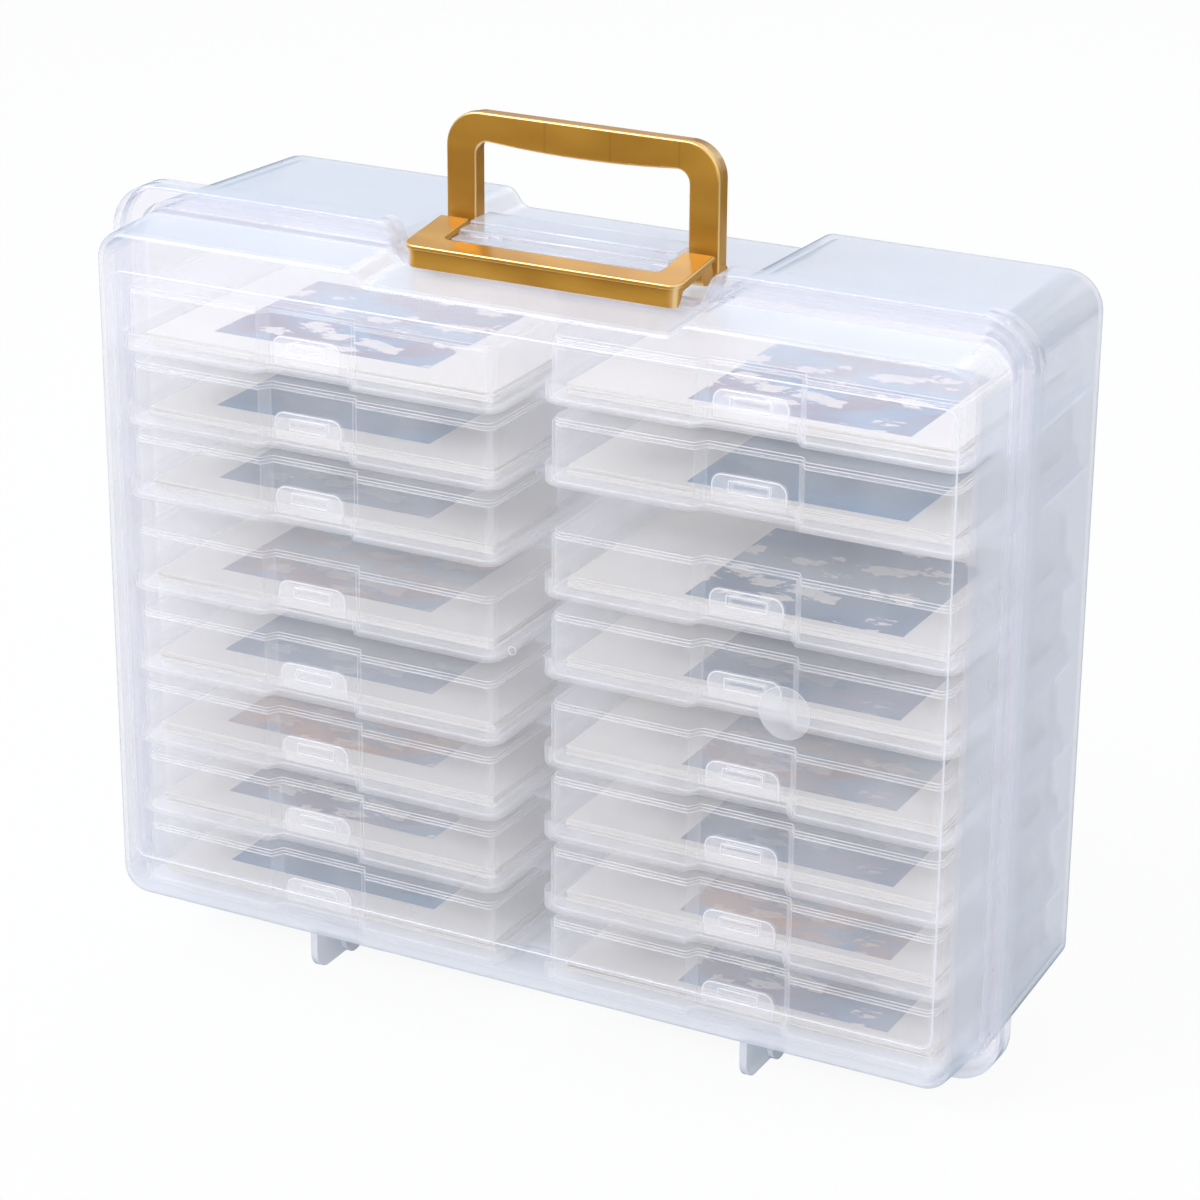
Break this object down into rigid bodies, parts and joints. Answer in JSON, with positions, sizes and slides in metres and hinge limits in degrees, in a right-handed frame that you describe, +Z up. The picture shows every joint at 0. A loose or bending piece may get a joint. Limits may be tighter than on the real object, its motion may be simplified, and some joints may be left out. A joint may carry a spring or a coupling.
{
  "type": "photo keeper case",
  "caption": "Clear carrying case that opens flat and stores photos in two columns of small clear cases, with a folding carry handle and a lift-up latch.",
  "frame": {"origin": "on the ground under the middle of the closed case: the bottom centre of its bounding box", "axes": "+Z up, +X along the width to the viewer's right, +Y from the lid to the back"},
  "size_m": [0.379, 0.126, 0.3465],
  "materials": {
    "clear_shell": "translucent polypropylene, smooth moulded",
    "clear_case": "clear polypropylene, smooth moulded",
    "gold_plastic": "metallic gold coloured plastic with faint flow lines",
    "card": "matt printed card"
  },
  "bodies": {
    "rear_shell": {"rear_body": "clear_shell", "handle_pin_left": "clear_shell", "handle_pin_right": "clear_shell", "latch_pin_left": "clear_shell", "latch_pin_right": "clear_shell", "hinge_pin_left": "clear_shell", "hinge_pin_right": "clear_shell"},
    "lid": {"front_lid": "clear_shell"},
    "handle": {"carry_handle": "gold_plastic"},
    "latch": {"latch_frame": "gold_plastic"},
    "case_left_1": {"case_box_left_1": "clear_case", "case_lid_left_1": "clear_case"},
    "case_left_2": {"case_box_left_2": "clear_case", "case_lid_left_2": "clear_case"},
    "case_left_3": {"case_box_left_3": "clear_case", "case_lid_left_3": "clear_case"},
    "case_left_4": {"case_box_left_4": "clear_case", "case_lid_left_4": "clear_case"},
    "case_left_5": {"case_box_left_5": "clear_case", "case_lid_left_5": "clear_case"},
    "case_left_6": {"case_box_left_6": "clear_case", "case_lid_left_6": "clear_case"},
    "case_left_7": {"case_box_left_7": "clear_case", "case_lid_left_7": "clear_case"},
    "case_left_8": {"case_box_left_8": "clear_case", "case_lid_left_8": "clear_case"},
    "case_right_1": {"case_box_right_1": "clear_case", "case_lid_right_1": "clear_case"},
    "case_right_2": {"case_box_right_2": "clear_case", "case_lid_right_2": "clear_case"},
    "case_right_3": {"case_box_right_3": "clear_case", "case_lid_right_3": "clear_case"},
    "case_right_4": {"case_box_right_4": "clear_case", "case_lid_right_4": "clear_case"},
    "case_right_5": {"case_box_right_5": "clear_case", "case_lid_right_5": "clear_case"},
    "case_right_6": {"case_box_right_6": "clear_case", "case_lid_right_6": "clear_case"},
    "case_right_7": {"case_box_right_7": "clear_case", "case_lid_right_7": "clear_case"},
    "case_right_8": {"case_box_right_8": "clear_case", "case_lid_right_8": "clear_case"}
  },
  "joints": [
    {"name": "lid_hinge", "type": "hinge", "parent": "rear_shell", "child": "lid", "pos_m": [0, -0.031, 0.0075], "axis": [1, 0, 0], "range_deg": [0, 180]},
    {"name": "handle_fold", "type": "hinge", "parent": "rear_shell", "child": "handle", "pos_m": [0, -0.0065, 0.2975], "axis": [-1, 0, 0], "range_deg": [0, 90]},
    {"name": "latch_lift", "type": "hinge", "parent": "rear_shell", "child": "latch", "pos_m": [0, -0.018, 0.3005], "axis": [-1, 0, 0], "range_deg": [0, 70]},
    {"name": "case_slide_left_1", "type": "slide", "parent": "rear_shell", "child": "case_left_1", "axis": [0, -1, 0], "range_m": [0, 0.063]},
    {"name": "case_slide_left_2", "type": "slide", "parent": "rear_shell", "child": "case_left_2", "axis": [0, -1, 0], "range_m": [0, 0.063]},
    {"name": "case_slide_left_3", "type": "slide", "parent": "rear_shell", "child": "case_left_3", "axis": [0, -1, 0], "range_m": [0, 0.063]},
    {"name": "case_slide_left_4", "type": "slide", "parent": "rear_shell", "child": "case_left_4", "axis": [0, -1, 0], "range_m": [0, 0.063]},
    {"name": "case_slide_left_5", "type": "slide", "parent": "rear_shell", "child": "case_left_5", "axis": [0, -1, 0], "range_m": [0, 0.063]},
    {"name": "case_slide_left_6", "type": "slide", "parent": "rear_shell", "child": "case_left_6", "axis": [0, -1, 0], "range_m": [0, 0.063]},
    {"name": "case_slide_left_7", "type": "slide", "parent": "rear_shell", "child": "case_left_7", "axis": [0, -1, 0], "range_m": [0, 0.063]},
    {"name": "case_slide_left_8", "type": "slide", "parent": "rear_shell", "child": "case_left_8", "axis": [0, -1, 0], "range_m": [0, 0.063]},
    {"name": "case_slide_right_1", "type": "slide", "parent": "rear_shell", "child": "case_right_1", "axis": [0, -1, 0], "range_m": [0, 0.063]},
    {"name": "case_slide_right_2", "type": "slide", "parent": "rear_shell", "child": "case_right_2", "axis": [0, -1, 0], "range_m": [0, 0.063]},
    {"name": "case_slide_right_3", "type": "slide", "parent": "rear_shell", "child": "case_right_3", "axis": [0, -1, 0], "range_m": [0, 0.063]},
    {"name": "case_slide_right_4", "type": "slide", "parent": "rear_shell", "child": "case_right_4", "axis": [0, -1, 0], "range_m": [0, 0.063]},
    {"name": "case_slide_right_5", "type": "slide", "parent": "rear_shell", "child": "case_right_5", "axis": [0, -1, 0], "range_m": [0, 0.063]},
    {"name": "case_slide_right_6", "type": "slide", "parent": "rear_shell", "child": "case_right_6", "axis": [0, -1, 0], "range_m": [0, 0.063]},
    {"name": "case_slide_right_7", "type": "slide", "parent": "rear_shell", "child": "case_right_7", "axis": [0, -1, 0], "range_m": [0, 0.063]},
    {"name": "case_slide_right_8", "type": "slide", "parent": "rear_shell", "child": "case_right_8", "axis": [0, -1, 0], "range_m": [0, 0.063]}
  ],
  "couplings": [
    {"joint": "case_slide_left_1", "follows": "lid_hinge", "m_per_rad": 0.02},
    {"joint": "case_slide_left_2", "follows": "lid_hinge", "m_per_rad": 0.02},
    {"joint": "case_slide_left_3", "follows": "lid_hinge", "m_per_rad": 0.02},
    {"joint": "case_slide_left_4", "follows": "lid_hinge", "m_per_rad": 0.02},
    {"joint": "case_slide_left_5", "follows": "lid_hinge", "m_per_rad": 0.02},
    {"joint": "case_slide_left_6", "follows": "lid_hinge", "m_per_rad": 0.02},
    {"joint": "case_slide_left_7", "follows": "lid_hinge", "m_per_rad": 0.02},
    {"joint": "case_slide_left_8", "follows": "lid_hinge", "m_per_rad": 0.02},
    {"joint": "case_slide_right_1", "follows": "lid_hinge", "m_per_rad": 0.02},
    {"joint": "case_slide_right_2", "follows": "lid_hinge", "m_per_rad": 0.02},
    {"joint": "case_slide_right_3", "follows": "lid_hinge", "m_per_rad": 0.02},
    {"joint": "case_slide_right_4", "follows": "lid_hinge", "m_per_rad": 0.02},
    {"joint": "case_slide_right_5", "follows": "lid_hinge", "m_per_rad": 0.02},
    {"joint": "case_slide_right_6", "follows": "lid_hinge", "m_per_rad": 0.02},
    {"joint": "case_slide_right_7", "follows": "lid_hinge", "m_per_rad": 0.02},
    {"joint": "case_slide_right_8", "follows": "lid_hinge", "m_per_rad": 0.02}
  ]
}
